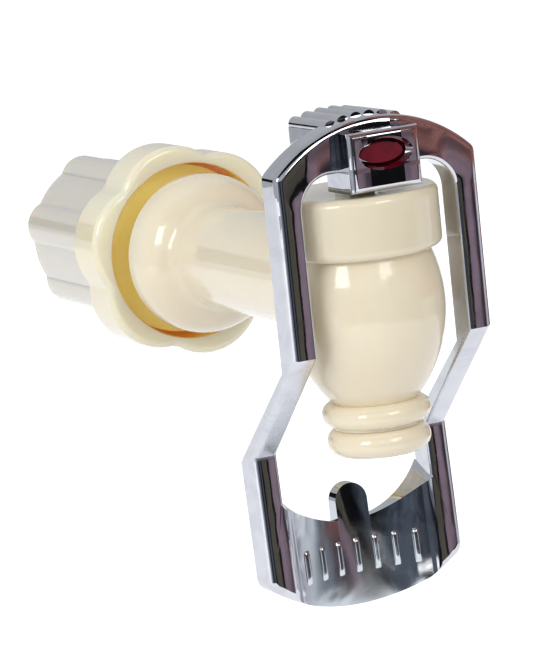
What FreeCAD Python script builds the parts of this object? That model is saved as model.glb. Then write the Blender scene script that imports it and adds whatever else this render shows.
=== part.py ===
import FreeCAD, Part
import math
import operator
import os
import Sketcher

# Push-back tap of a water dispenser, in millimetres.
# Frame: +X right, +Y back through the panel, +Z up. The origin is on the barrel's axis, in the plane
# of the gasket face that seats on the panel. The front pieces are drawn about the upright axis of the
# valve, which crosses the barrel's axis, and are placed in front of the panel by the reach.

DRIVING_SIZES = {
    # how far the valve's upright axis stands in front of the panel
    "reach": 70.2,
    # valve body: an egg-shaped bulb with two rings round its spout
    "bulb_radius": 14.5,
    "bulb_arc": 26.0,
    "bulb_middle": -3.3,
    "bulb_top": 6.4,
    "bulb_foot": -20.7,
    "ring_radius": 10.0,
    "ring_height": 4.3,
    "lip_radius": 9.5,
    "lip_height": 4.9,
    "ring_gap": 0.5,
    "ring_neck": 7.9,
    "collar_radius": 12.6,
    "collar_top": 13.0,
    # inside of the valve body
    "chamber_radius": 10.2,
    "seat_level": -9.0,
    "seat_rise": 0.6,
    "seat_width": 1.2,
    "outlet_radius": 5.0,
    "outlet_chamfer": 0.8,
    # barrel, flange and threaded shank
    "barrel_radius": 10.0,
    "flare_length": 9.9,
    "cove_radius": 3.6,
    "flange_radius": 15.7,
    "flange_edge": 1.6,
    "shank_radius": 10.478,
    "shank_length": 54.0,
    "shank_chamfer": 1.0,
    "inlet_radius": 6.5,
    "socket_radius": 7.5,
    "socket_depth": 12.0,
    "relief_clearance": 0.5,
    # gasket between flange and panel
    "gasket_radius": 14.0,
    "gasket_thickness": 2.4,
    "gasket_proud": 1.2,
    "gasket_clearance": 0.15,
    # bonnet, the cap over the valve
    "bonnet_radius": 15.0,
    "bonnet_foot": 6.5,
    "bonnet_top": 17.8,
    "bonnet_edge": 1.5,
    "bonnet_crown": 2.2,
    "bonnet_land": 8.9,
    "thread_clearance": 0.08,
    # silicone seat cup
    "cup_rim": 1.5,
    "cup_plug_radius": 7.0,
    "cup_plug_height": 4.2,
    "cup_wall": 1.1,
    "cup_mouth": 8.6,
    # stem, its spring and the spring's washer
    "stem_radius": 2.3,
    "stem_disc_radius": 5.4,
    "stem_disc_height": 1.2,
    "stem_button_radius": 3.0,
    "stem_button_height": 1.6,
    "stem_width": 5.0,
    "stem_depth": 6.0,
    "stem_square_foot": 11.2,
    "stem_clearance": 0.15,
    "cup_clearance": 0.05,
    "spring_radius": 4.3,
    "spring_wire": 0.9,
    "spring_turns": 7.0,
    "spring_clearance": 0.1,
    "washer_thickness": 0.8,
    # lever pin
    "pin_radius": 1.25,
    "pin_level": 25.0,
    "pin_inset": 0.3,
    "pin_clearance": 0.04,
    # lever: a yoke whose rails jog backwards to a push paddle
    "rail_width": 4.8,
    "rail_clearance": 0.4,
    "yoke_thickness": 6.0,
    "yoke_front": 9.9,
    "jog_back": 21.3,
    "jog_top": -9.6,
    "jog_foot": -30.0,
    "jog_heel": -31.2,
    "paddle_lean": 4.0,
    "arch_top": 31.6,
    "arch_radius": 28.5,
    "gap_top": 22.4,
    "gap_corner": 6.0,
    "shoulder_corner": 2.0,
    "paddle_foot": -61.3,
    "paddle_arc": 33.0,
    "paddle_corner": 2.5,
    "scoop_front_level": -44.9,
    "scoop_front_rise": 3.9,
    "scoop_back_level": -45.9,
    "scoop_back_rise": 9.2,
    "dish_depth": 3.7,
    "cut_margin": 0.6,
    "front_edge": 1.35,
    "back_edge": 0.5,
    "window_edge": 0.7,
    # head of the lever
    "head_half_width": 7.8,
    "head_back": 8.3,
    "ridge_front": 6.0,
    "ridge_count": 6,
    "ridge_pitch": 2.6,
    "ridge_crest": 32.3,
    "crown_radius": 24.0,
    "heel_half_width": 7.1,
    "heel_front": 13.8,
    "heel_foot": 18.6,
    "heel_top": 29.4,
    "heel_corner": 1.2,
    "slot_front": 5.4,
    "slot_back": 4.6,
    "slot_top": 28.7,
    "slot_clearance": 0.3,
    # oval recess and the red indicator in it
    "oval_level": 25.2,
    "oval_half_width": 5.4,
    "oval_half_height": 2.95,
    "oval_depth": 2.6,
    "oval_slope": 22.0,
    "indicator_thickness": 0.9,
    "indicator_clearance": 0.1,
    # finger tab on the paddle
    "tab_half_width": 3.3,
    "tab_top": -38.6,
    "tab_back": 17.0,
    "tab_root": 4.0,
    # lock nut behind the panel and its washer
    "nut_gap": 3.0,
    "nut_length": 44.6,
    "nut_rim_length": 11.0,
    "nut_lobes": 6,
    "nut_lobe_phase": 44.0,
    "nut_lobe_radius": 12.0,
    "nut_lobe_centre": 9.3,
    "nut_hub_radius": 15.2,
    "nut_rib_radius": 5.0,
    "nut_rib_centre": 11.7,
    "nut_recess_radius": 17.3,
    "nut_recess_depth": 7.0,
    "nut_edge": 1.4,
    "nut_notch": 3.0,
    "nut_clearance": 0.07,
    "nut_washer_thickness": 1.6,
    "nut_washer_radius": 16.6,
    "nut_washer_clearance": 0.12,
}

CIRCLE = 360.0
HALF_TURN = 180.0
QUARTER_TURN = 90.0

doc = FreeCAD.newDocument("dispenser_tap")
sheet = doc.addObject("Spreadsheet::Sheet", "Sizes")
for row, (word, number) in enumerate(DRIVING_SIZES.items(), start=1):
    sheet.set("A%d" % row, word)
    sheet.set("B%d" % row, str(number))
    sheet.setAlias("B%d" % row, word)
doc.recompute()

OPERATIONS = {"+": operator.add, "-": operator.sub, "*": operator.mul, "/": operator.truediv}


class Size:
    """A size worked out from the sheet: its number, and the formula that keeps it tied."""

    def __init__(self, number, formula):
        self.number = float(number)
        self.formula = formula

    def joined(self, sign, other, swapped=False):
        other = other if isinstance(other, Size) else Size(other, repr(float(other)))
        first, second = (other, self) if swapped else (self, other)
        number = OPERATIONS[sign](first.number, second.number)
        return Size(number, "(%s %s %s)" % (first.formula, sign, second.formula))

    def __add__(self, other):
        return self.joined("+", other)

    def __radd__(self, other):
        return self.joined("+", other, swapped=True)

    def __sub__(self, other):
        return self.joined("-", other)

    def __rsub__(self, other):
        return self.joined("-", other, swapped=True)

    def __mul__(self, other):
        return self.joined("*", other)

    def __rmul__(self, other):
        return self.joined("*", other, swapped=True)

    def __truediv__(self, other):
        return self.joined("/", other)

    def __neg__(self):
        return Size(-self.number, "(-1 * %s)" % self.formula)


def size(word):
    """The driving size of that name."""
    return Size(sheet.get(word), "Sizes.%s" % word)


def root(value):
    return Size(math.sqrt(value.number), "sqrt(%s)" % value.formula)


def sine(angle):
    return Size(math.sin(math.radians(angle.number)), "sin(%s)" % angle.formula)


def cosine(angle):
    return Size(math.cos(math.radians(angle.number)), "cos(%s)" % angle.formula)


def tangent(angle):
    return Size(math.tan(math.radians(angle.number)), "tan(%s)" % angle.formula)


ZERO = Size(0.0, "0")


def new_body(label):
    """An empty body for one piece, placed on the valve's upright axis."""
    body = doc.addObject("PartDesign::Body", label)
    body.Label = label
    return body


def stand_on_valve_axis(piece):
    piece.setExpression("Placement.Base.y", (-size("reach")).formula)


def new_sketch(body, name, plane, lift=ZERO):
    """A sketch on one of the body's own origin planes, lifted along the plane's normal."""
    sketch = body.newObject("Sketcher::SketchObject", name)
    support = [item for item in body.Origin.OriginFeatures if item.Role == plane][0]
    sketch.AttachmentSupport = [(support, "")]
    sketch.MapMode = "FlatFace"
    sketch.setExpression("AttachmentOffset.Base.z", lift.formula)
    return sketch


def pin_point(sketch, index, end, point):
    """Holds one end of a line or arc at a place measured from the sketch's origin."""
    for kind, distance in (("DistanceX", point[0]), ("DistanceY", point[1])):
        place = sketch.addConstraint(Sketcher.Constraint(kind, -1, 1, index, end, distance.number))
        sketch.setExpression("Constraints[%d]" % place, distance.formula)


def arc_between(start, end, radius, turn):
    """The short arc between two points; turn is 1 where it bends left on its way, -1 where right."""
    from_start = FreeCAD.Vector(end[0].number - start[0].number, end[1].number - start[1].number, 0)
    middle = FreeCAD.Vector(start[0].number, start[1].number, 0) + from_start * 0.5
    half = from_start.Length / 2
    left = FreeCAD.Vector(-from_start.y, from_start.x, 0).normalize()
    centre = middle + left * (turn * math.sqrt(max(radius.number ** 2 - half ** 2, 0.0)))
    first, last = (start, end) if turn > 0 else (end, start)
    angles = [math.atan2(p[1].number - centre.y, p[0].number - centre.x) for p in (first, last)]
    circle = Part.Circle(centre, FreeCAD.Vector(0, 0, 1), radius.number)
    return Part.ArcOfCircle(circle, angles[0], angles[1])


def draw_outline(sketch, start, steps):
    """A closed outline. A step is (u, v) for a line, or (u, v, radius, turn) for an arc to there."""
    corner = start
    ends = []
    for step in steps:
        target = (step[0], step[1])
        if len(step) == 2:
            points = [FreeCAD.Vector(p[0].number, p[1].number, 0) for p in (corner, target)]
            index = sketch.addGeometry(Part.LineSegment(points[0], points[1]), False)
            near, far = 1, 2
        else:
            index = sketch.addGeometry(arc_between(corner, target, step[2], step[3]), False)
            near, far = (1, 2) if step[3] > 0 else (2, 1)
            bend = sketch.addConstraint(Sketcher.Constraint("Radius", index, step[2].number))
            sketch.setExpression("Constraints[%d]" % bend, step[2].formula)
        if ends:
            sketch.addConstraint(Sketcher.Constraint("Coincident", ends[-1][0], ends[-1][2], index, near))
        ends.append((index, near, far))
        pin_point(sketch, index, far, target)
        corner = target
    sketch.addConstraint(Sketcher.Constraint("Coincident", ends[-1][0], ends[-1][2], ends[0][0], ends[0][1]))


def draw_circle(sketch, centre, radius):
    middle = FreeCAD.Vector(centre[0].number, centre[1].number, 0)
    index = sketch.addGeometry(Part.Circle(middle, FreeCAD.Vector(0, 0, 1), radius.number), False)
    girth = sketch.addConstraint(Sketcher.Constraint("Radius", index, radius.number))
    sketch.setExpression("Constraints[%d]" % girth, radius.formula)
    pin_point(sketch, index, 3, centre)


def draw_ellipse(sketch, centre, half_width, half_height):
    """An upright oval, wider than it is high, held by its middle and its two axes."""
    middle = FreeCAD.Vector(centre[0].number, centre[1].number, 0)
    end = middle + FreeCAD.Vector(half_width.number, 0, 0)
    top = middle + FreeCAD.Vector(0, half_height.number, 0)
    index = sketch.addGeometry(Part.Ellipse(end, top, middle), False)
    sketch.exposeInternalGeometry(index)
    pin_point(sketch, index, 3, centre)
    wide, high = index + 1, index + 2
    sketch.addConstraint(Sketcher.Constraint("Horizontal", wide))
    for line, kind, whole in ((wide, "DistanceX", 2 * half_width), (high, "DistanceY", 2 * half_height)):
        near = sketch.Geometry[line].StartPoint
        far = sketch.Geometry[line].EndPoint
        ends = (1, 2) if (far.x + far.y) > (near.x + near.y) else (2, 1)
        place = sketch.addConstraint(Sketcher.Constraint(kind, line, ends[0], line, ends[1], whole.number))
        sketch.setExpression("Constraints[%d]" % place, whole.formula)


def box_steps(left, right, low, high):
    """Start and steps of an upright rectangle."""
    return (left, low), [(right, low), (right, high), (left, high), (left, low)]


def turned(body, name, sketch, axis, kind="PartDesign::Revolution"):
    """A full turn of a sketch about one of its own axes, added or, as a Groove, cut away."""
    feature = body.newObject(kind, name)
    feature.Profile = sketch
    feature.ReferenceAxis = (sketch, [axis])
    feature.Angle = CIRCLE
    doc.recompute()
    return feature


def padded(body, name, sketch, length, both_ways=False, backwards=False):
    feature = body.newObject("PartDesign::Pad", name)
    feature.Profile = sketch
    feature.setExpression("Length", length.formula)
    feature.Midplane = both_ways
    feature.Reversed = backwards
    doc.recompute()
    return feature


def pocketed(body, name, sketch, length, both_ways=False, backwards=False):
    feature = body.newObject("PartDesign::Pocket", name)
    feature.Profile = sketch
    feature.setExpression("Length", length.formula)
    feature.Midplane = both_ways
    feature.Reversed = backwards
    doc.recompute()
    return feature


def polar(body, name, originals, sketch, count, axis="N_Axis"):
    """Copies of features, evenly spaced about an axis of a sketch."""
    feature = body.newObject("PartDesign::PolarPattern", name)
    feature.Originals = originals
    feature.Axis = (sketch, [axis])
    feature.Angle = CIRCLE
    feature.setExpression("Occurrences", count.formula)
    body.Tip = feature
    doc.recompute()
    return feature


def rounded(body, name, base, chosen, radius, kind="PartDesign::Fillet"):
    """A fillet, or a chamfer, on the edges of a feature that the test picks."""
    edges = ["Edge%d" % (i + 1) for i, edge in enumerate(base.Shape.Edges) if chosen(edge)]
    feature = body.newObject(kind, name)
    feature.Base = (base, edges)
    feature.setExpression("Size" if kind.endswith("Chamfer") else "Radius", radius.formula)
    doc.recompute()
    return feature


def spans(edge):
    """Lowest and highest corners of an edge's box."""
    box = edge.BoundBox
    return box.XMin, box.YMin, box.ZMin, box.XMax, box.YMax, box.ZMax


NEAR = 0.01


def close_to(value, target):
    return abs(value - target.number) < NEAR


# Valve body, barrel and shank: one moulding
def make_tap_body():
    body = new_body("tap_body")
    stand_on_valve_axis(body)
    bulge = size("bulb_radius") - size("bulb_arc")

    def bulb_at(level):
        away = level - size("bulb_middle")
        return bulge + root(size("bulb_arc") * size("bulb_arc") - away * away)

    foot, top = size("bulb_foot"), size("bulb_top")
    ring_foot = foot - size("ring_height")
    lip_top = ring_foot - size("ring_gap")
    lip_foot = lip_top - size("lip_height")
    ring_half, lip_half = size("ring_height") / 2, size("lip_height") / 2
    ring_neck = size("ring_neck")
    sketch = new_sketch(body, "bulb_outline", "XZ_Plane")
    draw_outline(sketch, (ZERO, lip_foot), [
        (size("lip_radius") - lip_half, lip_foot),
        (size("lip_radius"), lip_foot + lip_half, lip_half, 1),
        (size("lip_radius") - lip_half, lip_top, lip_half, 1),
        (ring_neck, lip_top),
        (ring_neck, ring_foot),
        (size("ring_radius") - ring_half, ring_foot),
        (size("ring_radius"), ring_foot + ring_half, ring_half, 1),
        (size("ring_radius") - ring_half, foot, ring_half, 1),
        (bulb_at(foot), foot),
        (bulb_at(top), top, size("bulb_arc"), 1),
        (size("collar_radius"), top),
        (size("collar_radius"), size("collar_top")),
        (ZERO, size("collar_top")),
        (ZERO, lip_foot),
    ])
    turned(body, "bulb", sketch, "V_Axis")

    # The flare turns by the same angle twice, so its two arcs meet in line
    seat = size("reach")
    flange_back = seat - size("gasket_proud")
    flange_front = flange_back - size("flange_edge")
    rise = size("flange_radius") - size("barrel_radius")
    run = size("flare_length")
    both_arcs = (run * run + rise * rise) / (2 * rise)
    dome_radius = both_arcs - size("cove_radius")
    cove_share = size("cove_radius") / both_arcs
    flare_start = flange_front - run
    groove_radius = size("gasket_radius") + size("gasket_clearance")
    groove_floor = seat - size("gasket_thickness")
    shank_end = seat + size("shank_length")
    chamfer = size("shank_chamfer")
    sketch = new_sketch(body, "barrel_outline", "YZ_Plane")
    draw_outline(sketch, (ZERO, ZERO), [
        (shank_end, ZERO),
        (shank_end, size("shank_radius") - chamfer),
        (shank_end - chamfer, size("shank_radius")),
        (groove_floor, size("shank_radius")),
        (groove_floor, groove_radius),
        (flange_back, groove_radius),
        (flange_back, size("flange_radius")),
        (flange_front, size("flange_radius")),
        (flare_start + run * cove_share, size("barrel_radius") + rise * cove_share, dome_radius, 1),
        (flare_start, size("barrel_radius"), size("cove_radius"), -1),
        (ZERO, size("barrel_radius")),
        (ZERO, ZERO),
    ])
    turned(body, "barrel", sketch, "H_Axis")
    # A round relief in the barrel's root lets the bonnet screw down past it, with a rounded shoulder
    relief = size("bonnet_radius") + size("relief_clearance")
    step = size("barrel_radius") - top
    sketch = new_sketch(body, "relief_outline", "XZ_Plane")
    draw_outline(sketch, (size("collar_radius"), top), [
        (relief, top),
        (relief + step, size("barrel_radius"), step, -1),
        (size("collar_radius"), size("barrel_radius")),
        (size("collar_radius"), top),
    ])
    turned(body, "relief", sketch, "V_Axis", "PartDesign::Groove")

    # Chamber, raised seat and outlet
    seat_level = size("seat_level")
    floor = seat_level - size("seat_rise")
    outlet, flare = size("outlet_radius"), size("outlet_chamfer")
    sketch = new_sketch(body, "chamber_outline", "XZ_Plane")
    draw_outline(sketch, (ZERO, lip_foot), [
        (outlet + flare, lip_foot),
        (outlet, lip_foot + flare),
        (outlet, seat_level),
        (outlet + size("seat_width"), seat_level),
        (outlet + size("seat_width"), floor),
        (size("chamber_radius"), floor),
        (size("chamber_radius"), size("collar_top")),
        (ZERO, size("collar_top")),
        (ZERO, lip_foot),
    ])
    turned(body, "chamber", sketch, "V_Axis", "PartDesign::Groove")
    sketch = new_sketch(body, "inlet_outline", "YZ_Plane")
    draw_outline(sketch, (ZERO, ZERO), [
        (shank_end, ZERO),
        (shank_end, size("socket_radius")),
        (shank_end - size("socket_depth"), size("socket_radius")),
        (shank_end - size("socket_depth"), size("inlet_radius")),
        (ZERO, size("inlet_radius")),
        (ZERO, ZERO),
    ])
    turned(body, "inlet", sketch, "H_Axis", "PartDesign::Groove")
    return body


# Bonnet: the cap that screws over the collar and clamps the seat cup
def make_bonnet():
    body = new_body("bonnet")
    stand_on_valve_axis(body)
    foot, top, edge = size("bonnet_foot"), size("bonnet_top"), size("bonnet_edge")
    outer = size("bonnet_radius")
    bore = size("collar_radius") + size("thread_clearance")
    rim_top = size("collar_top") + size("cup_rim")
    ceiling = top - size("bonnet_crown")
    sketch = new_sketch(body, "bonnet_outline", "XZ_Plane")
    draw_outline(sketch, (ZERO, ceiling), [
        (size("bonnet_land"), ceiling),
        (size("bonnet_land"), rim_top),
        (bore, rim_top),
        (bore, foot),
        (outer - edge, foot),
        (outer, foot + edge, edge, 1),
        (outer, top - edge),
        (outer - edge, top, edge, 1),
        (ZERO, top),
        (ZERO, ceiling),
    ])
    turned(body, "cap", sketch, "V_Axis")
    half_width = size("stem_width") / 2 + size("stem_clearance")
    half_depth = size("stem_depth") / 2 + size("stem_clearance")
    sketch = new_sketch(body, "stem_hole_outline", "XY_Plane", ceiling)
    draw_outline(sketch, *box_steps(-half_width, half_width, -half_depth, half_depth))
    pocketed(body, "stem_hole", sketch, size("bonnet_crown"), backwards=True)
    return body


# Seat cup: a silicone bell whose plug closes the outlet and whose rim seals the bonnet
def make_seat_cup():
    body = new_body("seat_cup")
    stand_on_valve_axis(body)
    plug, wall, mouth = size("cup_plug_radius"), size("cup_wall"), size("cup_mouth")
    foot = size("seat_level")
    plug_top = foot + size("cup_plug_height")
    rim_foot, rim_top = size("collar_top"), size("collar_top") + size("cup_rim")
    loose = size("cup_clearance")
    button_top = plug_top - size("stem_button_height")
    button_foot = button_top - size("stem_button_height")
    rim_outer = size("collar_radius") - loose
    sketch = new_sketch(body, "cup_outline", "XZ_Plane")
    draw_outline(sketch, (ZERO, foot), [
        (plug, foot),
        (plug, plug_top - wall),
        (mouth + wall, rim_foot - wall),
        (mouth + wall, rim_foot),
        (rim_outer, rim_foot),
        (rim_outer, rim_top),
        (mouth, rim_top),
        (mouth, rim_foot - wall),
        (plug - wall, plug_top),
        (size("stem_radius") + loose, plug_top),
        (size("stem_radius") + loose, button_top + loose),
        (size("stem_button_radius") + loose, button_top + loose),
        (size("stem_button_radius") + loose, button_foot - loose),
        (ZERO, button_foot - loose),
        (ZERO, foot),
    ])
    turned(body, "cup", sketch, "V_Axis")
    return body


# Stem: lifts the seat cup, carries the spring on its disc, and hangs on the lever pin
def make_stem():
    body = new_body("stem")
    stand_on_valve_axis(body)
    plug_top = size("seat_level") + size("cup_plug_height")
    button_top = plug_top - size("stem_button_height")
    button_foot = button_top - size("stem_button_height")
    disc_top = plug_top + size("stem_disc_height")
    square_foot = size("stem_square_foot")
    rod, button = size("stem_radius"), size("stem_button_radius")
    sketch = new_sketch(body, "rod_outline", "XZ_Plane")
    draw_outline(sketch, (ZERO, button_foot), [
        (button, button_foot),
        (button, button_top),
        (rod, button_top),
        (rod, plug_top),
        (size("stem_disc_radius"), plug_top),
        (size("stem_disc_radius"), disc_top),
        (rod, disc_top),
        (rod, square_foot),
        (ZERO, square_foot),
        (ZERO, button_foot),
    ])
    turned(body, "rod", sketch, "V_Axis")
    half_depth = size("stem_depth") / 2
    pin_level = size("pin_level")
    sketch = new_sketch(body, "blade_outline", "YZ_Plane")
    draw_outline(sketch, (-half_depth, square_foot), [
        (half_depth, square_foot),
        (half_depth, pin_level),
        (ZERO, pin_level + half_depth, half_depth, 1),
        (-half_depth, pin_level, half_depth, 1),
        (-half_depth, square_foot),
    ])
    padded(body, "blade", sketch, size("stem_width"), both_ways=True)
    sketch = new_sketch(body, "eye_outline", "YZ_Plane")
    draw_circle(sketch, (ZERO, pin_level), size("pin_radius") + size("pin_clearance"))
    pocketed(body, "eye", sketch, size("stem_width"), both_ways=True)
    return body


# Return spring, pressed between the stem's disc and the washer under the bonnet's crown
def make_return_spring():
    body = new_body("return_spring")
    stand_on_valve_axis(body)
    disc_top = size("seat_level") + size("cup_plug_height") + size("stem_disc_height")
    washer_foot = size("bonnet_top") - size("bonnet_crown") - size("washer_thickness")
    wire = size("spring_wire") / 2
    free = size("spring_clearance")
    start = disc_top + wire + free
    sketch = new_sketch(body, "wire_outline", "XZ_Plane")
    draw_circle(sketch, (size("spring_radius"), start), wire)
    coils = body.newObject("PartDesign::AdditiveHelix", "coils")
    coils.Profile = sketch
    coils.ReferenceAxis = (sketch, ["V_Axis"])
    coils.Mode = "height-turns-angle"
    coils.setExpression("Height", (washer_foot - wire - free - start).formula)
    coils.setExpression("Turns", size("spring_turns").formula)
    doc.recompute()
    return body


# Spring washer under the bonnet's crown, with the stem's oblong hole
def make_spring_washer():
    body = new_body("spring_washer")
    stand_on_valve_axis(body)
    ceiling = size("bonnet_top") - size("bonnet_crown")
    foot = ceiling - size("washer_thickness")
    sketch = new_sketch(body, "washer_outline", "XY_Plane", foot)
    draw_circle(sketch, (ZERO, ZERO), size("cup_mouth"))
    padded(body, "disc", sketch, size("washer_thickness"))
    half_width = size("stem_width") / 2 + size("stem_clearance")
    half_depth = size("stem_depth") / 2 + size("stem_clearance")
    sketch = new_sketch(body, "washer_hole_outline", "XY_Plane", foot)
    draw_outline(sketch, *box_steps(-half_width, half_width, -half_depth, half_depth))
    pocketed(body, "washer_hole", sketch, size("washer_thickness"), backwards=True)
    return body


# Push lever: one plated moulding of arch, rails, jog, paddle and ridged head
def make_push_lever():
    body = new_body("push_lever")
    stand_on_valve_axis(body)
    # The rails pass the bonnet with a clearance, and the whole lever is as wide as they make it
    gap = size("bonnet_radius") + size("rail_clearance")
    width = gap + size("rail_width")
    deep = size("yoke_thickness")
    front = -size("yoke_front")
    arch_top, foot = size("arch_top"), size("paddle_foot")
    jog_top, jog_foot, jog_back = size("jog_top"), size("jog_foot"), size("jog_back")
    jog_front = front + jog_back
    drop = jog_top - jog_foot
    slope = root(drop * drop + jog_back * jog_back)
    # The bar keeps its thickness round the upper bend, so its back corner sits lower by the mitre
    mitre = deep * jog_back / (slope + drop)
    lean = (jog_foot - foot) * tangent(size("paddle_lean"))
    sketch = new_sketch(body, "side_outline", "YZ_Plane")
    draw_outline(sketch, (front, arch_top), [
        (front, jog_top),
        (jog_front, jog_foot),
        (jog_front - lean, foot),
        (jog_front - lean + deep, foot),
        (jog_front + deep, size("jog_heel")),
        (front + deep, jog_top - mitre),
        (front + deep, arch_top),
        (front, arch_top),
    ])
    padded(body, "bar", sketch, 2 * width, both_ways=True)

    # Front outline: everything outside the arch, the sides and the rounded foot is cut away
    arch, arc = size("arch_radius"), size("paddle_arc")
    arch_side = arch_top - arch + root(arch * arch - width * width)
    foot_side = foot + arc - root(arc * arc - width * width)
    margin = size("cut_margin")
    through = 2 * (jog_front + deep + size("heel_front"))
    sketch = new_sketch(body, "arch_cut_outline", "XZ_Plane")
    draw_outline(sketch, (width + margin, arch_side), [
        (width, arch_side),
        (ZERO, arch_top, arch, 1),
        (-width, arch_side, arch, 1),
        (-width - margin, arch_side),
        (-width - margin, arch_top + margin),
        (width + margin, arch_top + margin),
        (width + margin, arch_side),
    ])
    pocketed(body, "arch_cut", sketch, through, both_ways=True)
    sketch = new_sketch(body, "foot_cut_outline", "XZ_Plane")
    draw_outline(sketch, (-width - margin, foot_side), [
        (-width, foot_side),
        (ZERO, foot, arc, 1),
        (width, foot_side, arc, 1),
        (width + margin, foot_side),
        (width + margin, foot - margin),
        (-width - margin, foot - margin),
        (-width - margin, foot_side),
    ])
    cut = pocketed(body, "foot_cut", sketch, through, both_ways=True)

    def side_corner(level):
        def test(edge):
            low_x, low_y, low_z, high_x, high_y, high_z = spans(edge)
            upright = high_z - low_z < 1 and high_x - low_x < NEAR and high_y - low_y > 1
            return upright and close_to(abs(low_x), width) and abs(low_z - level.number) < 1
        return test

    shoulders = rounded(body, "shoulders", cut, side_corner(arch_side), size("shoulder_corner"))
    cut = rounded(body, "paddle_corners", shoulders, side_corner(foot_side), size("paddle_corner"))

    def outline_edge(edge):
        low_x, low_y, low_z, high_x, high_y, high_z = spans(edge)
        across = high_y - low_y < NEAR and high_z - low_z < NEAR
        deep_way = high_x - low_x < NEAR and high_z - low_z < NEAR
        return not across and not deep_way

    # Front and back faces as seen from the side: depth at each level, from the arch down to the foot
    front_line = [(arch_top, front), (jog_top, front), (jog_foot, jog_front), (foot, jog_front - lean)]
    back_line = [(arch_top, front + deep), (jog_top - mitre, front + deep),
                 (size("jog_heel"), jog_front + deep), (foot, jog_front - lean + deep)]

    def depth_at(line, level):
        for (top, upper), (low, lower) in zip(line, line[1:]):
            share = (top.number - level) / (top.number - low.number)
            if share <= 1:
                break
        return upper.number + (lower.number - upper.number) * share

    def outline_of(line):
        def test(edge):
            corners = edge.Vertexes
            return outline_edge(edge) and all(abs(c.Y - depth_at(line, c.Z)) < NEAR for c in corners)
        return test

    cut = rounded(body, "back_edges", cut, outline_of(back_line), size("back_edge"))
    rounded(body, "front_edges", cut, outline_of(front_line), size("front_edge"))

    # Opening between the rails, down to the scoop
    corner = size("gap_corner")
    gap_top = size("gap_top")
    back_rail = size("scoop_back_level") + size("scoop_back_rise")
    sketch = new_sketch(body, "window_outline", "XZ_Plane")
    draw_outline(sketch, (-gap, back_rail), [
        (gap, back_rail),
        (gap, gap_top - corner),
        (gap - corner, gap_top, corner, 1),
        (corner - gap, gap_top),
        (-gap, gap_top - corner, corner, 1),
        (-gap, back_rail),
    ])
    pocketed(body, "window", sketch, through, both_ways=True)

    # Scoop: its front rim is a flat arc, its back rim a deep one
    front_level, front_rise = size("scoop_front_level"), size("scoop_front_rise")
    back_level, back_rise = size("scoop_back_level"), size("scoop_back_rise")
    rims = []
    for name, level, rise, lift in (
            ("scoop_front", front_level, front_rise, -(jog_front - lean - margin)),
            ("scoop_back", back_level, back_rise, -(jog_front + deep + margin))):
        bend = (gap * gap + rise * rise) / (2 * rise)
        rim = new_sketch(body, name, "XZ_Plane", lift)
        draw_outline(rim, (-gap, back_rail + margin), [
            (-gap, level + rise),
            (ZERO, level, bend, 1),
            (gap, level + rise, bend, 1),
            (gap, back_rail + margin),
            (-gap, back_rail + margin),
        ])
        rims.append(rim)
    scoop = body.newObject("PartDesign::SubtractiveLoft", "scoop")
    scoop.Profile = rims[0]
    scoop.Sections = [rims[1]]
    scoop.Ruled = True
    doc.recompute()

    def window_edge(edge):
        low_x, low_y, low_z, high_x, high_y, high_z = spans(edge)
        upright = close_to(abs(low_x), gap) and high_x - low_x < NEAR and high_z - low_z > 1
        return upright and low_z > back_level.number

    rounded(body, "window_edges", scoop, window_edge, size("window_edge"))

    # Finger tab above the middle of the paddle; the dish then shapes its face with the paddle's
    tab, tab_top = size("tab_half_width"), size("tab_top")
    tab_root = front_level - size("tab_root")
    sketch = new_sketch(body, "tab_outline", "XZ_Plane", -size("tab_back"))
    draw_outline(sketch, (-tab, tab_root), [
        (tab, tab_root),
        (tab, tab_top - tab),
        (ZERO, tab_top, tab, 1),
        (-tab, tab_top - tab, tab, 1),
        (-tab, tab_root),
    ])
    padded(body, "tab", sketch, size("tab_back") - jog_front)

    # Dish: the face of paddle and tab is hollowed between the rails
    dish_depth = size("dish_depth")
    dish = (gap * gap + dish_depth * dish_depth) / (2 * dish_depth)
    sketch = new_sketch(body, "dish_outline", "XY_Plane", jog_foot)
    sketch.AttachmentOffset.Rotation = FreeCAD.Rotation(FreeCAD.Vector(1, 0, 0), -size("paddle_lean").number)
    sketch.setExpression("AttachmentOffset.Rotation.Angle", (-size("paddle_lean")).formula)
    sketch.setExpression("AttachmentOffset.Base.y", jog_front.formula)
    draw_outline(sketch, (-gap, -margin), [
        (gap, -margin),
        (gap, ZERO),
        (ZERO, dish_depth, dish, 1),
        (-gap, ZERO, dish, 1),
        (-gap, -margin),
    ])
    pocketed(body, "dish", sketch, jog_foot - foot + margin)

    # Head: a heel that stands proud in front, and a ridged block behind the arch
    heel_front, heel_foot = size("heel_front"), size("heel_foot")
    crown, crest = size("crown_radius"), size("ridge_crest")
    pitch, head = size("ridge_pitch"), size("head_half_width")
    bump = pitch / 2
    crown_centre = crest - crown
    base_radius = crown - bump
    head_side = crown_centre + root(base_radius * base_radius - head * head)
    heel = size("heel_half_width")
    sketch = new_sketch(body, "heel_outline", "XZ_Plane", heel_front)
    draw_outline(sketch, *box_steps(-heel, heel, heel_foot, size("heel_top")))
    heel_pad = padded(body, "heel", sketch, heel_front + front + deep, backwards=True)

    def heel_edges(edge):
        low_x, low_y, low_z, high_x, high_y, high_z = spans(edge)
        in_face = close_to(low_y, -heel_front) and close_to(high_y, -heel_front)
        upright = close_to(abs(low_x), heel) and high_x - low_x < NEAR
        along_side = upright and low_y < front.number and high_y - low_y > 1
        return in_face or (along_side and low_z < gap_top.number)

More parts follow.
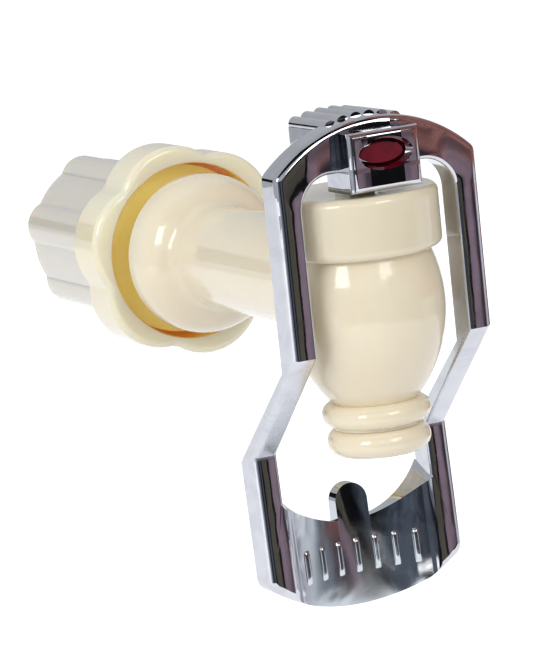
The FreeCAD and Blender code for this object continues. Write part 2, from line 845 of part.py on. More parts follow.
    heel_pad = rounded(body, "heel_rim", heel_pad, lambda e: heel_edges(e) and spans(e)[4] < front.number,
                       size("heel_corner"))
    sketch = new_sketch(body, "head_outline", "XZ_Plane", size("ridge_front"))
    draw_outline(sketch, (-head, gap_top), [
        (head, gap_top),
        (head, head_side),
        (ZERO, crown_centre + base_radius, base_radius, 1),
        (-head, head_side, base_radius, 1),
        (-head, gap_top),
    ])
    padded(body, "head", sketch, size("ridge_front") + size("head_back"), backwards=True)
    # Ridges run front to back over the head, evenly spaced about the crown's centre
    count = int(size("ridge_count").number)
    for index in range(count):
        along = (index - (count - 1) / 2) * pitch
        angle = Size(HALF_TURN / math.pi, "180 / pi") * along / base_radius
        across = base_radius * sine(angle)
        up = crown_centre + base_radius * cosine(angle)
        sketch = new_sketch(body, "ridge_outline_%d" % (index + 1), "XZ_Plane", size("ridge_front"))
        draw_circle(sketch, (across, up), bump)
        padded(body, "ridge_%d" % (index + 1), sketch, size("ridge_front") + size("head_back"),
               backwards=True)

    # Oval recess with sloping walls
    shrink = size("oval_depth") * tangent(size("oval_slope"))
    ovals = []
    for name, inset, lift in (("oval_rim", ZERO, heel_front),
                              ("oval_floor", shrink, heel_front - size("oval_depth"))):
        oval = new_sketch(body, name, "XZ_Plane", lift)
        draw_ellipse(oval, (ZERO, size("oval_level")), size("oval_half_width") - inset,
                     size("oval_half_height") - inset)
        ovals.append(oval)
    recess = body.newObject("PartDesign::SubtractiveLoft", "oval_recess")
    recess.Profile = ovals[0]
    recess.Sections = [ovals[1]]
    recess.Ruled = True
    doc.recompute()

    # Slot for the stem's blade, and the bore for the pin
    slot_half = size("stem_width") / 2 + size("slot_clearance")
    sketch = new_sketch(body, "slot_outline", "YZ_Plane")
    draw_outline(sketch, *box_steps(-size("slot_front"), size("slot_back"), heel_foot - margin,
                                    size("slot_top")))
    pocketed(body, "slot", sketch, 2 * slot_half, both_ways=True)
    sketch = new_sketch(body, "pin_bore_outline", "YZ_Plane")
    draw_circle(sketch, (ZERO, size("pin_level")), size("pin_radius"))
    pocketed(body, "pin_bore", sketch, 2 * head + 2 * margin, both_ways=True)
    return body


# Lever pin: joins the lever's head to the stem's eye
def make_lever_pin():
    body = new_body("lever_pin")
    stand_on_valve_axis(body)
    length = 2 * (size("head_half_width") - size("pin_inset"))
    sketch = new_sketch(body, "pin_outline", "YZ_Plane")
    draw_circle(sketch, (ZERO, size("pin_level")), size("pin_radius"))
    padded(body, "pin", sketch, length, both_ways=True)
    return body


# Indicator: a glossy red oval on the floor of the head's recess
def make_indicator():
    body = new_body("indicator")
    stand_on_valve_axis(body)
    depth = size("oval_depth")
    shrink = depth * tangent(size("oval_slope")) + size("indicator_clearance")
    floor = size("heel_front") - depth
    sketch = new_sketch(body, "indicator_outline", "XZ_Plane", floor)
    half_width, half_height = size("oval_half_width") - shrink, size("oval_half_height") - shrink
    draw_ellipse(sketch, (ZERO, size("oval_level")), half_width, half_height)
    padded(body, "oval", sketch, size("indicator_thickness"))
    return body


def make_ring(label, inner, outer, thickness, at):
    """A flat ring about the barrel's axis, from a plane at that distance behind the panel."""
    rounds = []
    for name, radius in (("outside", outer), ("inside", inner)):
        solid = doc.addObject("Part::Cylinder", "%s_%s" % (label, name))
        solid.setExpression("Radius", radius.formula)
        solid.setExpression("Height", thickness.formula)
        rounds.append(solid)
    ring = doc.addObject("Part::Cut", label)
    ring.Label = label
    ring.Base, ring.Tool = rounds
    ring.Placement.Rotation = FreeCAD.Rotation(FreeCAD.Vector(1, 0, 0), -QUARTER_TURN)
    ring.setExpression("Placement.Base.y", at.formula)
    return ring


# Panel gasket: rubber ring in the flange's groove, standing proud of it onto the panel
def make_panel_gasket():
    inner = size("shank_radius") + size("gasket_clearance")
    thickness = size("gasket_thickness")
    return make_ring("panel_gasket", inner, size("gasket_radius"), thickness, -thickness)


# Nut washer: lies on the floor of the nut's recess and does not turn with it
def make_nut_washer():
    inner = size("shank_radius") + size("nut_washer_clearance")
    thickness = size("nut_washer_thickness")
    at = size("nut_gap") + size("nut_recess_depth") - thickness
    return make_ring("nut_washer", inner, size("nut_washer_radius"), thickness, at)


# Lock nut: a scalloped hand rim with a recess, and a ribbed hub behind it
def make_lock_nut():
    body = new_body("lock_nut")
    body.setExpression("Placement.Base.y", size("nut_gap").formula)
    count, phase = size("nut_lobes"), size("nut_lobe_phase")
    rim_length, length = size("nut_rim_length"), size("nut_length")

    def lobe_place(distance):
        return distance * cosine(phase), distance * sine(phase)

    sketch = new_sketch(body, "hub_outline", "XZ_Plane")
    draw_circle(sketch, (ZERO, ZERO), size("nut_hub_radius"))
    padded(body, "hub", sketch, length, backwards=True)
    for name, distance, radius, deep in (
            ("rib", size("nut_rib_centre"), size("nut_rib_radius"), length),
            ("lobe", size("nut_lobe_centre"), size("nut_lobe_radius"), rim_length)):
        sketch = new_sketch(body, "%s_outline" % name, "XZ_Plane")
        draw_circle(sketch, lobe_place(distance), radius)
        single = padded(body, name, sketch, deep, backwards=True)
        last = polar(body, "%ss" % name, [single], sketch_at_middle(body, name), count)
    notch_limit = (size("nut_lobe_centre") + size("nut_lobe_radius")).number

    def rim_notch(edge):
        low_x, low_y, low_z, high_x, high_y, high_z = spans(edge)
        straight = high_x - low_x < NEAR and high_z - low_z < NEAR
        along = close_to(high_y - low_y, rim_length)
        return straight and along and math.hypot(low_x, low_z) < notch_limit

    last = rounded(body, "notches", last, rim_notch, size("nut_notch"))

    def rim_edge(edge):
        low_x, low_y, low_z, high_x, high_y, high_z = spans(edge)
        flat = high_y - low_y < NEAR
        middle = edge.CenterOfMass
        outside = math.hypot(middle.x, middle.z) > (size("nut_hub_radius") + size("nut_edge")).number
        ends = close_to(low_y, ZERO) or close_to(low_y, rim_length)
        return flat and ends and outside

    last = rounded(body, "rim_edges", last, rim_edge, size("nut_edge"))
    sketch = new_sketch(body, "recess_outline", "XZ_Plane")
    draw_circle(sketch, (ZERO, ZERO), size("nut_recess_radius"))
    pocketed(body, "recess", sketch, size("nut_recess_depth"))
    sketch = new_sketch(body, "bore_outline", "XZ_Plane")
    draw_circle(sketch, (ZERO, ZERO), size("shank_radius") + size("nut_clearance"))
    pocketed(body, "bore", sketch, length)
    return body


def sketch_at_middle(body, name):
    """An empty sketch whose normal is the nut's axis, for a pattern to turn about."""
    return new_sketch(body, "%s_axis" % name, "XZ_Plane")


PIECES = [
    make_tap_body(),
    make_bonnet(),
    make_seat_cup(),
    make_stem(),
    make_return_spring(),
    make_spring_washer(),
    make_push_lever(),
    make_lever_pin(),
    make_indicator(),
    make_panel_gasket(),
    make_nut_washer(),
    make_lock_nut(),
]

doc.recompute()
for item in doc.Objects:
    if "Invalid" in item.State or "Error" in item.State:
        raise ValueError("%s did not compute: %s" % (item.Label, item.State))
for piece in PIECES:
    if piece.Shape.isNull() or not piece.Shape.isValid():
        raise ValueError("%s has no sound solid" % piece.Label)

os.makedirs("parts", exist_ok=True)
for piece in PIECES:
    piece.Shape.exportStep("parts/%s.step" % piece.Label)
    print(piece.Label, len(piece.Shape.Solids), round(piece.Shape.Volume, 1))
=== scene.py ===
import math

import bmesh
import bpy
from mathutils import Matrix, Vector
from mathutils.bvhtree import BVHTree


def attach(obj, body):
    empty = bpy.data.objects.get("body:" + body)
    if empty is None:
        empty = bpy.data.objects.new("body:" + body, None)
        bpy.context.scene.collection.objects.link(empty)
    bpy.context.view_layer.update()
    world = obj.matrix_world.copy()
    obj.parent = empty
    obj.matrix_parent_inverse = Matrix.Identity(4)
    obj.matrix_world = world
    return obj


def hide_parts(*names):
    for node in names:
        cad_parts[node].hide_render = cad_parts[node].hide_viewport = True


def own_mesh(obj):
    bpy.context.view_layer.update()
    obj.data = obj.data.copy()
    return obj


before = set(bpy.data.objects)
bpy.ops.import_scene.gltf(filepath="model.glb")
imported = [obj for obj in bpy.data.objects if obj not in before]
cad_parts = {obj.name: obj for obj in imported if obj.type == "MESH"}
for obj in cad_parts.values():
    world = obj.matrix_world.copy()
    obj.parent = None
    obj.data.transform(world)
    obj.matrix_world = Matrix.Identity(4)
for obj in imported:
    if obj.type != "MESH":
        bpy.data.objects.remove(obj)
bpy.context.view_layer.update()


# Ivory mouldings: the plastic of the valve body, the bonnet and the nut.
# Glossy cream plastic, a little waxy, with faint flow marks and the fine ripple of a moulded skin.
class Value:
    """A number or colour inside a material. Arithmetic on it adds the nodes that work it out."""

    def __init__(self, paint, socket):
        self.paint = paint
        self.socket = socket

    def maths(self, operation, *others):
        sockets = {0: self, **dict(enumerate(others, 1))}
        return self.paint.make("ShaderNodeMath", {"operation": operation}, sockets)

    def __add__(self, other):
        return self.maths("ADD", other)

    def __sub__(self, other):
        return self.maths("SUBTRACT", other)

    def __rsub__(self, other):
        return self.maths("MULTIPLY_ADD", -1.0, other)

    def __mul__(self, other):
        return self.maths("MULTIPLY", other)

    def __truediv__(self, other):
        return self.maths("DIVIDE", other)

    __radd__ = __add__
    __rmul__ = __mul__

    def ramp(self, low, high, start=0.0, end=1.0):
        """Rises smoothly from start to end while this value goes from low to high."""
        settings = {"interpolation_type": "SMOOTHSTEP"}
        return self.paint.make("ShaderNodeMapRange", settings, {0: self, 1: low, 2: high, 3: start, 4: end})

    def blend(self, first, second):
        """Goes from the first colour to the second while this value goes from 0 to 1."""
        return self.paint.make("ShaderNodeMix", {"data_type": "RGBA"}, {0: self, 6: first, 7: second}, 2)


class Paint:
    """A node material with one Principled surface."""

    def __init__(self, name):
        self.material = bpy.data.materials.new(name)
        self.material.use_nodes = True
        self.tree = self.material.node_tree
        self.tree.nodes.clear()
        self.output = self.tree.nodes.new("ShaderNodeOutputMaterial")
        self.surface = self.tree.nodes.new("ShaderNodeBsdfPrincipled")
        self.tree.links.new(self.surface.outputs[0], self.output.inputs["Surface"])
        self.place = self.make("ShaderNodeTexCoord", {}, {}, "Object")

    def make(self, kind, settings, sockets, result=0):
        """Adds a node: first its settings, then its sockets. Gives one of its results back."""
        node = self.tree.nodes.new(kind)
        for name, value in settings.items():
            setattr(node, name, value)
        self.fill(node, sockets)
        return Value(self, node.outputs[result])

    def fill(self, node, sockets):
        for name, value in sockets.items():
            if isinstance(value, Value):
                self.tree.links.new(value.socket, node.inputs[name])
            else:
                node.inputs[name].default_value = value

    def noise(self, scale, detail=2.0, roughness=0.5, distortion=0.0):
        sockets = {"Vector": self.place, "Scale": scale, "Detail": detail, "Roughness": roughness,
                   "Distortion": distortion}
        return self.make("ShaderNodeTexNoise", {"noise_dimensions": "3D"}, sockets, "Fac")

    def axis(self, letter):
        return self.make("ShaderNodeSeparateXYZ", {}, {0: self.place}, letter)

    def bump(self, height, strength, distance, below=None):
        sockets = {"Height": height, "Strength": strength, "Distance": distance}
        if below is not None:
            sockets["Normal"] = below
        return self.make("ShaderNodeBump", {}, sockets)

    def finish(self, **sockets):
        """Sets the surface's sockets; an underscore in a name stands for a space."""
        self.fill(self.surface, {name.replace("_", " "): value for name, value in sockets.items()})
        return self.material


def linear(red, green, blue):
    """A colour given as it looks on screen, 0 to 255."""
    def one(shown):
        shown = shown / 255
        return shown / 12.92 if shown <= 0.04045 else ((shown + 0.055) / 1.055) ** 2.4
    return one(red), one(green), one(blue), 1.0


def ivory(name, light, deep, waxy=0.25, painted_hub_shade=None):
    paint = Paint(name)
    cloud = paint.noise(45.0, 3.0, 0.55)
    fine = paint.noise(900.0, 2.0, 0.6)
    colour = cloud.ramp(0.3, 0.7).blend(linear(*light), linear(*deep))
    if painted_hub_shade:
        # The hub is painted greyer than the rim, as painted shade; the recess is painted amber, as painted
        # light caught in it
        rim_back, hub_start, recess_radius, recess_floor = 0.008, 0.026, 0.01735, 0.0105
        along = paint.axis("Y")
        away = (paint.axis("X") * paint.axis("X") + paint.axis("Z") * paint.axis("Z")).maths("SQRT")
        colour = along.ramp(rim_back, hub_start).blend(colour, linear(*painted_hub_shade))
        painted_recess_glow = 1 - away.ramp(recess_radius, recess_radius + 0.00025)
        painted_recess_glow = painted_recess_glow * (1 - along.ramp(recess_floor, recess_floor + 0.001))
        colour = painted_recess_glow.blend(colour, linear(240, 190, 92))
    ripple = paint.bump(cloud, 0.06, 0.0006)
    grain = paint.bump(fine, 0.03, 0.00008, ripple)
    return paint.finish(Base_Color=colour, Roughness=fine.ramp(0.3, 0.75, 0.10, 0.17), Normal=grain,
                        Subsurface_Weight=waxy, Subsurface_Radius=(0.006, 0.0038, 0.0014),
                        Subsurface_Scale=1.0, IOR=1.49, Coat_Weight=0.6, Coat_Roughness=0.03)


# Valve body: one moulding of bulb, spout rings, barrel, flange and threaded shank.
# It holds everything else. Its shank is turned down here to the root of the thread.
def skin(node, material, body, sharp_from=28.0):
    """A merged and smoothly shaded copy of a CAD node, which is shown in its place."""
    same_point, sliver = 2e-6, 1e-6
    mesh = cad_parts[node].data.copy()
    copy = bpy.data.objects.new(node + "_skin", mesh)
    bpy.context.scene.collection.objects.link(copy)
    shape = bmesh.new()
    shape.from_mesh(mesh)
    bmesh.ops.remove_doubles(shape, verts=shape.verts, dist=same_point)
    bmesh.ops.dissolve_degenerate(shape, edges=shape.edges, dist=sliver)
    for face in shape.faces:
        face.smooth = True
    for edge in shape.edges:
        edge.smooth = len(edge.link_faces) == 2 and edge.calc_face_angle(0) < math.radians(sharp_from)
    shape.to_mesh(mesh)
    shape.free()
    mesh.materials.clear()
    mesh.materials.append(material)
    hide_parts(node)
    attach(copy, body)
    weigh = copy.modifiers.new("even_shading", "WEIGHTED_NORMAL")
    weigh.keep_sharp = True
    weigh.weight = 100
    return copy


body_ivory = ivory("ivory_body", (243, 232, 207), (240, 226, 197))
housing = skin("tap_body", body_ivory, "tap")
thread_crest, thread_root, thread_start = 0.010476, 0.00932, 0.0016
shank_from, same_radius, cut_margin = -0.003, 2e-5, 1e-4
shape = bmesh.new()
shape.from_mesh(housing.data)
outer = [face for face in shape.faces
         if all(abs(math.hypot(v.co.x, v.co.z) - thread_crest) < same_radius and v.co.y > shank_from
                for v in face.verts)]
around = {part for face in outer for part in (face, *face.edges, *face.verts)}
bmesh.ops.bisect_plane(shape, geom=list(around), dist=1e-6,
                       plane_co=(0, thread_start, 0), plane_no=(0, 1, 0))
for v in shape.verts:
    away = math.hypot(v.co.x, v.co.z)
    if v.co.y > thread_start - cut_margin and away > thread_root:
        v.co.x *= thread_root / away
        v.co.z *= thread_root / away
shape.to_mesh(housing.data)
shape.free()


# Shank thread: right-handed pipe thread with rounded crests and a chamfer at both ends.
# It is moulded in one with the shank, and the nut runs on it.
def add(name, shape, material, body):
    """A piece made here from a bmesh, moving with a CAD body."""
    for face in shape.faces:
        face.smooth = True
    bmesh.ops.recalc_face_normals(shape, faces=shape.faces)
    mesh = bpy.data.meshes.new(name)
    shape.to_mesh(mesh)
    shape.free()
    piece = bpy.data.objects.new(name, mesh)
    bpy.context.scene.collection.objects.link(piece)
    mesh.materials.append(material)
    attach(piece, body)


pitch, thread_length, lead_in, steps_per_turn = 0.0018143, 0.0512, 0.0001, 48
# One turn's section: its place along the shank in pitches, and its height from root (0) to crest (1)
profile = [(-0.47, -0.12), (-0.40, 0.03), (-0.33, 0.14), (-0.14, 0.84), (-0.06, 1.0),
           (0.06, 1.0), (0.14, 0.84), (0.33, 0.14), (0.40, 0.03), (0.47, -0.12)]
shape = bmesh.new()
corners = [shape.verts.new((thread_root + (thread_crest - thread_root) * height,
                            thread_start + lead_in + pitch * across, 0)) for across, height in profile]
edges = [shape.edges.new(pair) for pair in zip(corners, corners[1:])]
steps = int(thread_length / pitch * steps_per_turn)
bmesh.ops.spin(shape, geom=corners + edges, cent=(0, 0, 0), axis=(0, 1, 0),
               dvec=(0, pitch / steps_per_turn, 0), angle=2 * math.pi * steps / steps_per_turn, steps=steps)
for v in shape.verts:
    away = math.hypot(v.co.x, v.co.z)
    run = v.co.y - thread_start
    kept = max(0.0, min(1.0, run / pitch, (thread_length + pitch / 2 - run) / pitch))
    lower = min(away, thread_root + (thread_crest - thread_root) * kept)
    v.co.x *= lower / away
    v.co.z *= lower / away
add("shank_thread", shape, body_ivory, "tap")

# Bonnet: the cream cap over the valve, moulded in the body's plastic.
# It is screwed down over the body's collar, and the stem comes up through it.
cap_ivory = ivory("ivory_bonnet", (241, 230, 206), (238, 224, 196))
skin("bonnet", cap_ivory, "tap")

# Lock nut: cream hand nut with a scalloped rim and a ribbed hub.
# It runs on the shank's thread, and clamps the panel against the flange.
# The nut's greyer hub is painted shade, and its amber recess is painted light.
nut_ivory = ivory("ivory_nut", (249, 239, 214), (245, 234, 208), waxy=0.7, painted_hub_shade=(217, 214, 203))
skin("lock_nut", nut_ivory, "nut")

# Push lever: one chrome-plated moulding of arch, rails, block, ridges and hollowed paddle.
# The rails and the arch are slightly crowned, and the plating follows the ripple of the plastic under it.
rail_middle, rail_half_width = 0.0178, 0.0026
arch_centre, arch_middle, arch_half_width, crown_depth = 0.0031, 0.0243, 0.0043, 0.00012
dish_level, dish_curve, tab_half_width, tab_slope = -0.052, -2.0, 0.0034, 0.12
ripple_strength, ripple_height, grit_strength, grit_height = 0.10, 0.0011, 0.02, 0.00004
chrome = Paint("chrome_lever")
sway = chrome.noise(70.0, 2.0, 0.5, 0.4)
smudge = chrome.noise(140.0, 4.0, 0.6, 1.2)
grit = chrome.noise(2600.0, 2.0, 0.5)
side = chrome.axis("X")
aside = side.maths("ABSOLUTE")
height = chrome.axis("Z")
above_centre = height - arch_centre
from_rail = (aside - rail_middle) / rail_half_width
from_arch = ((aside * aside + above_centre * above_centre).maths("SQRT") - arch_middle) / arch_half_width
off_crown = from_rail + (from_arch - from_rail) * height.ramp(0.0165, 0.0205)
# Zones of the lever, by distance from its middle plane and by height
on_rail = aside.ramp(0.0135, 0.0152) * height.ramp(-0.0605, -0.0585)
on_arch = (1 - on_rail) * height.ramp(0.0222, 0.0232)
in_dish = (1 - aside.ramp(0.0146, 0.0156)) * (1 - height.ramp(-0.040, -0.034))
in_hollow = in_dish * (1 - aside.ramp(0.011, 0.013))
on_tab = height.ramp(-0.058, -0.038) * (1 - aside.ramp(0.0045, 0.0145))
on_block = (1 - aside.ramp(0.0078, 0.0079)) * height.ramp(0.019, 0.0195)
on_jog = height.ramp(-0.0310, -0.0300) * (1 - height.ramp(-0.0105, -0.0095))
# The shape of the plating: crown, then hollow and tab, then ripple, then grit
plate = chrome.bump(off_crown * off_crown * -crown_depth * (on_rail + on_arch), 1.0, 1.0)
from_dish = height - dish_level
across_tab = side.maths("MINIMUM", tab_half_width).maths("MAXIMUM", -tab_half_width)
hollow = from_dish * from_dish * dish_curve * in_dish + on_tab * across_tab * tab_slope
plate = chrome.bump(hollow, 1.0, 1.0, plate)
plate = chrome.bump(sway * (in_dish * 1.5 + on_block * 0.8 + 1.0), ripple_strength, ripple_height, plate)
plate = chrome.bump(grit, grit_strength, grit_height, plate)
tone = smudge.ramp(0.35, 0.7).blend((0.63, 0.645, 0.69, 1), (0.56, 0.575, 0.62, 1))
# The hollow gets its own bluer tone, as a painted reflection: it tints what the dish mirrors.
tone = in_hollow.blend(tone, (0.575, 0.62, 0.655, 1))
cloudy = in_hollow * (1 - height.ramp(-0.047, -0.044)) * side.ramp(0.004, 0.009, 0.09, 0.02)
chrome.finish(Base_Color=tone, Metallic=1.0, Normal=plate,
              Roughness=smudge.ramp(0.45, 0.8, 0.03, 0.11) + cloudy + on_jog * 0.22)
lever = skin("push_lever", chrome.material, "lever", 24.0)

# Grip ribs: seven upright ribs across the paddle's hollow face, moulded and plated in one with the lever.
# Each follows the face under it, as measured straight from the front.
rib_count, rib_pitch, rib_half_width, rib_half_length, rib_level = 7, 0.0038, 0.00062, 0.0033, -0.0522
rib_height, rib_sunk, rib_end_power, before_face = 0.00062, 0.0001, 6, -0.12
shape = bmesh.new()
shape.from_mesh(lever.data)
face_of_lever = BVHTree.FromBMesh(shape)
shape.clear()
for number in range(rib_count):
    middle = (number - (rib_count - 1) / 2) * rib_pitch
    for v in bmesh.ops.create_grid(shape, x_segments=8, y_segments=16, size=1.0)["verts"]:
        across, along = v.co.x, v.co.y
        start = Vector((middle + across * rib_half_width, before_face, rib_level + along * rib_half_length))
        hit, normal, _, _ = face_of_lever.ray_cast(start, Vector((0, 1, 0)))
        swell = math.sqrt(max(0.0, (1 - across ** 2) * (1 - abs(along) ** rib_end_power)))
        v.co = hit + normal * (rib_height * swell - rib_sunk)
add("grip_ribs", shape, chrome.material, "lever")

# Indicator: glossy crimson oval, pressed into the recess in the lever's block.
red = Paint("crimson_indicator")
depth = red.noise(300.0, 3.0, 0.6, 0.5)
red.finish(Base_Color=depth.ramp(0.3, 0.75).blend(linear(116, 10, 30), linear(84, 6, 22)),
           Roughness=depth.ramp(0.3, 0.8, 0.06, 0.16), Coat_Weight=1.0, Coat_Roughness=0.03)
skin("indicator", red.material, "lever")

# Steel pieces: the lever pin pressed across the block, and the return spring on the stem.
# Both are drawn stainless wire. The spring squashes upwards when the stem lifts.
steel = Paint("stainless_wire")
drawn = steel.noise(700.0, 3.0, 0.6)
steel.finish(Base_Color=drawn.ramp(0.3, 0.7).blend(linear(206, 206, 208), linear(184, 185, 189)),
             Metallic=1.0, Roughness=drawn.ramp(0.3, 0.8, 0.18, 0.34),
             Normal=steel.bump(drawn, 0.05, 0.00005))
skin("lever_pin", steel.material, "lever")
spring = skin("return_spring", steel.material, "tap", 60.0)
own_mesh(spring)

# White plastic pieces: the stem that the lever lifts, and the washer that the spring pushes against.
# Both are moulded, and stand loose inside the bonnet.
white = Paint("white_moulding")
speck = white.noise(500.0, 3.0, 0.6)
white.finish(Base_Color=speck.ramp(0.3, 0.7).blend(linear(234, 234, 228), linear(224, 223, 215)),
             Roughness=speck.ramp(0.3, 0.7, 0.3, 0.42), Normal=white.bump(speck, 0.04, 0.00006), IOR=1.49)
skin("stem", white.material, "stem")
skin("spring_washer", white.material, "tap")

# Soft pieces: the milky silicone cup that closes the valve, and the gasket behind the flange.
# The cup is held by its rim under the bonnet, and squashes upwards when the stem lifts.
soft = Paint("milky_rubber")
haze = soft.noise(260.0, 3.0, 0.6)
soft.finish(Base_Color=haze.ramp(0.3, 0.7).blend(linear(228, 224, 212), linear(214, 209, 195)),
            Roughness=haze.ramp(0.3, 0.7, 0.42, 0.56), Normal=soft.bump(haze, 0.05, 0.0001), IOR=1.43)
cup = skin("seat_cup", soft.material, "tap")
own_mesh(cup)
skin("panel_gasket", soft.material, "tap")

# Nut washer: rubber laid loose in the nut's recess.
# Its honey-amber colour and its faint glow are painted light: the warm light caught in the gap round the
# flange.
washer_glow_paint = Paint("amber_rubber")
haze = washer_glow_paint.noise(260.0, 3.0, 0.6)
washer_glow_paint.finish(Base_Color=haze.ramp(0.3, 0.7).blend(linear(252, 230, 146), linear(250, 224, 132)),
             Roughness=haze.ramp(0.3, 0.7, 0.4, 0.5), Normal=washer_glow_paint.bump(haze, 0.05, 0.0001), IOR=1.43,
             Subsurface_Weight=0.4, Subsurface_Radius=(0.004, 0.002, 0.0006), Subsurface_Scale=1.0,
             # The emission is a painted glow; the washer is no lamp.
             Emission_Color=linear(226, 206, 108), Emission_Strength=0.24)
skin("nut_washer", washer_glow_paint.material, "washer")


# Camera: stands 700 mm from the valve, to its left and a little above, and leans by six degrees.
# Its lens and place were fitted to the object's outline.
turn, rise, lean = math.radians(-25.22), math.radians(9.70), math.radians(-6.02)
stand_off, focal_pixels, frame_pixels, film_width = 0.7, 3878.0, 670.0, 36.0
valve_middle, aim_left, aim_below = Vector((0, -0.0702, 0)), 0.01742, 0.008876
back = Vector((math.sin(turn) * math.cos(rise), -math.cos(turn) * math.cos(rise), math.sin(rise)))
level = Vector((math.cos(turn), math.sin(turn), 0))
upright = back.cross(level)
right = math.cos(lean) * level + math.sin(lean) * upright
up = -math.sin(lean) * level + math.cos(lean) * upright
target = valve_middle - aim_left * right - aim_below * up
lens = bpy.data.cameras.new("camera")
lens.sensor_width = film_width
lens.lens = focal_pixels * film_width / frame_pixels
lens.clip_start = 0.01
camera = bpy.data.objects.new("camera", lens)
facing = Matrix((right, up, back)).transposed().to_4x4()
camera.matrix_world = Matrix.Translation(target + stand_off * back) @ facing
bpy.context.scene.collection.objects.link(camera)
bpy.context.scene.camera = camera
bpy.context.scene.view_settings.view_transform = "Standard"


# Stage floor: a pale, matt card that takes the shadow.
# It is lifted to white for the eye, and by less for mirrors.
def stage_card(name, shape, material):
    """Something round the object that is no part of it."""
    mesh = bpy.data.meshes.new(name)
    shape.to_mesh(mesh)
    shape.free()
    card = bpy.data.objects.new(name, mesh)
    bpy.context.scene.collection.objects.link(card)
    mesh.materials.append(material)
    return card


floor_half_size, floor_level, lift_for_eye, lift_for_mirrors = 1.2, -0.16, 0.62, 0.5
ground = Paint("pale_floor")
grey = ground.noise(6.0, 2.0, 0.5)
ground.finish(Base_Color=grey.ramp(0.3, 0.7).blend((0.80, 0.80, 0.81, 1), (0.78, 0.78, 0.80, 1)),
              Roughness=0.9)
lift = ground.tree.nodes.new("ShaderNodeEmission")
seen = ground.make("ShaderNodeLightPath", {}, {}, "Is Camera Ray")
mirrored = ground.make("ShaderNodeLightPath", {}, {}, "Is Glossy Ray")
through = ground.make("ShaderNodeLightPath", {}, {}, "Is Transmission Ray")
ground.fill(lift, {"Strength": (seen + through) * lift_for_eye + mirrored * lift_for_mirrors})
both = ground.tree.nodes.new("ShaderNodeAddShader")
ground.tree.links.new(ground.surface.outputs[0], both.inputs[0])
ground.tree.links.new(lift.outputs[0], both.inputs[1])
ground.tree.links.new(both.outputs[0], ground.output.inputs["Surface"])
shape = bmesh.new()
bmesh.ops.create_grid(shape, x_segments=1, y_segments=1, size=floor_half_size,
                      matrix=Matrix.Translation((0, 0.3, floor_level)))
stage_card("floor", shape, ground.material)

# Stage world: an even room all round the object.
# It is white for the eye, and soft and cool for light and mirrors.
room = bpy.data.worlds.new("room")
bpy.context.scene.world = room
room.use_nodes = True
room.node_tree.nodes.clear()
output = room.node_tree.nodes.new("ShaderNodeOutputWorld")
pick = room.node_tree.nodes.new("ShaderNodeMixShader")
path = room.node_tree.nodes.new("ShaderNodeLightPath")
for place, colour, strength in ((1, (0.95, 0.96, 1.0, 1), 0.56), (2, (1, 1, 1, 1), 1.0)):
    sky = room.node_tree.nodes.new("ShaderNodeBackground")
    sky.inputs[0].default_value = colour
    sky.inputs[1].default_value = strength
    room.node_tree.links.new(sky.outputs[0], pick.inputs[place])
room.node_tree.links.new(path.outputs["Is Camera Ray"], pick.inputs[0])
room.node_tree.links.new(pick.outputs[0], output.inputs[0])

# Stage flags: the dark sides of the studio, bent round the object and seen only in its gloss.
# They leave gaps for the white room and the soft boxes.
# Bearings are degrees round the object from straight in front of it, growing to the right.
def towards(bearing_deg, rise_deg):
    """The direction from the object at a bearing and a height."""
    around, above = math.radians(bearing_deg), math.radians(rise_deg)
    return Vector((math.sin(around) * math.cos(above), -math.cos(around) * math.cos(above), math.sin(above)))


flag_distance, flag_middle, arc_parts, column_deg = 0.62, Vector((0, -0.05, 0)), 6, 3
black, brown, rust = (0.010, 0.010, 0.012, 1), (0.22, 0.085, 0.06, 1), (0.32, 0.15, 0.135, 1)
dark = Paint("dark_room")
folds = dark.noise(9.0, 3.0, 0.6, 0.8)
ahead = (dark.axis("Y") - flag_middle.y) * -1.0
bearing = dark.axis("X").maths("ARCTAN2", ahead) * (180 / math.pi)
tall = dark.axis("Z")
shade = bearing.ramp(-140, -120).blend(black, (0.7, 0.73, 0.8, 1))
for low, high, colour in ((-68, -40, (0.12, 0.13, 0.16, 1)), (-34, -28, black),
                          (-24, -10, (0.085, 0.10, 0.13, 1)), (4, 12, black),
                          (18.2, 18.8, (0.10, 0.092, 0.075, 1)), (22.8, 23.4, black),
                          (24.6, 25.2, (0.21, 0.157, 0.195, 1)), (30, 33, (0.07, 0.045, 0.06, 1)),
                          (38, 46, (0.2, 0.22, 0.27, 1)), (50, 64, (0.72, 0.75, 0.82, 1)), (88, 96, brown)):
    shade = bearing.ramp(low, high).blend(shade, colour)
shade = (tall.ramp(-0.068, -0.045) * bearing.ramp(26, 34)).blend(shade, rust)
glint = bearing.ramp(-20, -18) * (1 - bearing.ramp(-11, -9))
glint = glint * tall.ramp(-0.153, -0.150) * (1 - tall.ramp(-0.142, -0.139))
shade = glint.blend(shade, (1.6, 1.6, 1.6, 1))
overhead = bearing.ramp(28, 50).blend(black, rust)
shade = tall.ramp(0.1, 0.2).blend(shade, overhead)
patchy = folds.ramp(0.3, 0.7).blend((0.5, 0.5, 0.5, 1), (1.45, 1.4, 1.35, 1))
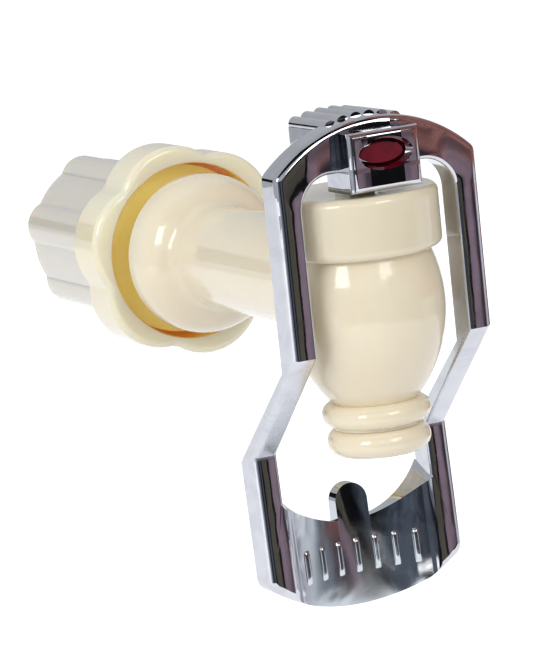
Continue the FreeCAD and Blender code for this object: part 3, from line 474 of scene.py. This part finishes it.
multiply = {"data_type": "RGBA", "blend_type": "MULTIPLY"}
shade = dark.make("ShaderNodeMix", multiply, {0: 1.0, 6: shade, 7: patchy}, 2)
dark.finish(Base_Color=(0, 0, 0, 1), Emission_Color=shade, Emission_Strength=1.0, Roughness=1.0,
            Specular_IOR_Level=0.0)
shape = bmesh.new()
for first, last, bottom, top in ((-67, 128, -16, 11), (7, 37, 11, 19), (19, 37, 19, 26), (37, 127, 11, 44),
                                 (-70, 110, 44, 76), (-178, -142, 1, 13)):
    arc = []
    for part in range(arc_parts + 1):
        way = towards(first, bottom + (top - bottom) * part / arc_parts)
        arc.append(shape.verts.new(flag_middle + flag_distance * way))
    edges = [shape.edges.new(pair) for pair in zip(arc, arc[1:])]
    bmesh.ops.spin(shape, geom=arc + edges, cent=flag_middle, axis=(0, 0, 1),
                   angle=math.radians(last - first), steps=(last - first) // column_deg)
flags = stage_card("dark_flags", shape, dark.material)
flags.visible_camera = False
flags.visible_shadow = False
flags.visible_diffuse = False


# Stage lamps: rectangular soft boxes, all equally far from the object.
# Two show in the gloss, and two wide fills don't.
lamp_distance = 1.2


def lamp(name, bearing_deg, rise_deg, size, power, colour=(1, 1, 1)):
    """A soft box that faces the object from a bearing and a height."""
    way = towards(bearing_deg, rise_deg)
    light = bpy.data.lights.new(name, "AREA")
    light.shape = "RECTANGLE"
    light.size, light.size_y = size
    light.energy = power
    light.color = colour
    box = bpy.data.objects.new(name, light)
    facing = way.to_track_quat("Z", "Y").to_matrix().to_4x4()
    box.matrix_world = Matrix.Translation(flag_middle + way * lamp_distance) @ facing
    bpy.context.scene.collection.objects.link(box)
    return box


lamp("left_box", -60.0, 26.0, (0.38, 0.50), 3.4)
lamp("front_box", 14.0, 30.0, (0.50, 0.56), 2.9, (1.0, 0.98, 0.96))
for name, bearing_deg, rise_deg, power in (("left_fill", -85.0, 12.0, 2.6), ("back_fill", 150.0, 25.0, 2.4)):
    lamp(name, bearing_deg, rise_deg, (0.8, 0.8), power, (1.0, 0.97, 0.92)).visible_glossy = False
